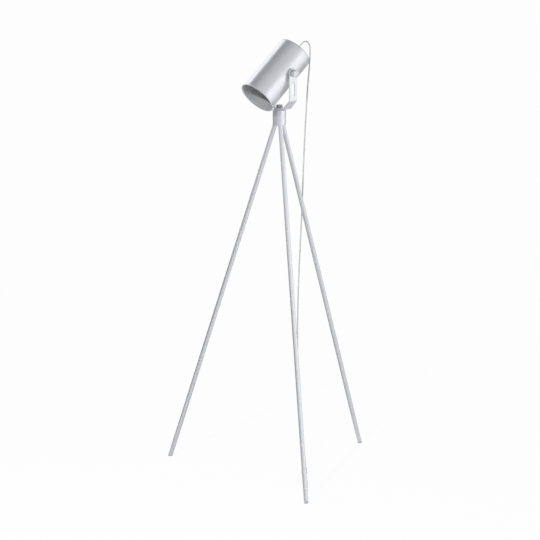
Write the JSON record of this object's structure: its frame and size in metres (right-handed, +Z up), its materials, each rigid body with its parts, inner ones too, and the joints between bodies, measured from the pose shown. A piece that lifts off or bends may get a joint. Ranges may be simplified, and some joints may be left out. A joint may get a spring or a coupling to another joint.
{
  "type": "tripod spotlight floor lamp",
  "caption": "Floor lamp on a slim tube tripod, with a cylindrical spotlight head that tilts in a slotted flat-bar yoke swivelling on the hub.",
  "frame": {"origin": "on the floor, under the centre of the stance's bounding box; the hub's axis stands at y = +0.1055 m", "axes": "+Z up, -Y towards the front foot, +X to the right; the lamp head points to -X and slightly to -Y"},
  "size_m": [0.7476, 0.6495, 1.5712],
  "materials": {
    "silver_paint": "satin light silver enamel",
    "shade_paint": "satin light silver enamel",
    "hub_metal": "satin light silver enamel over cast and turned metal",
    "bright_steel": "zinc-plated turned steel",
    "knob_metal": "satin turned aluminium",
    "bush_plastic": "grey moulded nylon",
    "foot_plastic": "grey moulded plastic",
    "cord_grey": "grey smooth round PVC sheath",
    "grip_plastic": "grey moulded plastic",
    "switch_plastic": "grey moulded plastic",
    "rocker_plastic": "grey moulded plastic, smoother",
    "plug_plastic": "grey moulded plastic",
    "sleeve_plastic": "black moulded plastic",
    "brass_contact": "bright nickelled brass",
    "holder_plastic": "white moulded thermoset",
    "holder_ceramic": "glazed white porcelain",
    "bulb_white": "white moulded housing",
    "bulb_glass": "frosted white diffuser",
    "tie_plastic": "grey hook-and-loop strap",
    "core_insulation": "smooth core insulation"
  },
  "bodies": {
    "tripod": {"hub": "hub_metal", "leg_front": "silver_paint", "leg_left": "silver_paint", "leg_right": "silver_paint", "leg_inserts": "bright_steel", "foot_front": "foot_plastic", "foot_left": "foot_plastic", "foot_right": "foot_plastic", "swivel_disc": "silver_paint", "swivel_washer": "bright_steel", "swivel_bolt": "bright_steel", "cord_drop": "cord_grey", "cord_hank": "cord_grey", "hank_tie": "tie_plastic", "switch_cover": "switch_plastic", "switch_base": "switch_plastic", "switch_boots": "switch_plastic", "switch_screws": "bright_steel", "plug_body": "plug_plastic", "plug_pins": "brass_contact", "plug_pin_sleeves": "sleeve_plastic", "plug_relief": "plug_plastic"},
    "yoke_frame": {"yoke": "silver_paint"},
    "right_knob": {"right_tilt_knob": "knob_metal", "right_pivot_screw": "bright_steel", "right_knob_washer": "bright_steel"},
    "left_knob": {"left_tilt_knob": "knob_metal", "left_pivot_screw": "bright_steel", "left_knob_washer": "bright_steel"},
    "head": {"shade": "shade_paint", "back_cap": "shade_paint", "right_pivot_bush": "bush_plastic", "left_pivot_bush": "bush_plastic", "threaded_tube": "bright_steel", "holder_lock_nut": "bright_steel", "holder_dome": "holder_plastic", "holder_barrel": "holder_plastic", "holder_core": "holder_ceramic", "holder_contact": "brass_contact", "lead_cores": "core_insulation", "bulb_screw_cap": "bright_steel", "bulb_housing": "bulb_white", "bulb_diffuser": "bulb_glass", "cord_grip": "grip_plastic", "cord_loop": "cord_grey"},
    "rocker": {"switch_rocker": "rocker_plastic"}
  },
  "joints": [
    {"name": "yoke_swivel", "type": "hinge", "parent": "tripod", "child": "yoke_frame", "pos_m": [0, 0.1055, 1.3295], "axis": [0, 0, 1], "range_deg": [-90, 90], "deforming": ["cord_drop"]},
    {"name": "head_tilt", "type": "hinge", "parent": "yoke_frame", "child": "head", "pos_m": [0, 0.1055, 1.4627], "axis": [-0.4493, 0.8934, 0], "range_deg": [-9, 100], "deforming": ["cord_loop"]},
    {"name": "right_knob_turn", "type": "hinge", "parent": "yoke_frame", "child": "right_knob", "pos_m": [0, 0.1055, 1.4627], "axis": [0.4493, -0.8934, 0], "range_deg": [0, 360]},
    {"name": "left_knob_turn", "type": "hinge", "parent": "yoke_frame", "child": "left_knob", "pos_m": [0, 0.1055, 1.4627], "axis": [-0.4493, 0.8934, 0], "range_deg": [0, 360]},
    {"name": "switch_rock", "type": "hinge", "parent": "tripod", "child": "rocker", "pos_m": [0.09175, 0.10008, 0.0105], "axis": [0, 0, 1], "range_deg": [-14, 0]}
  ]
}
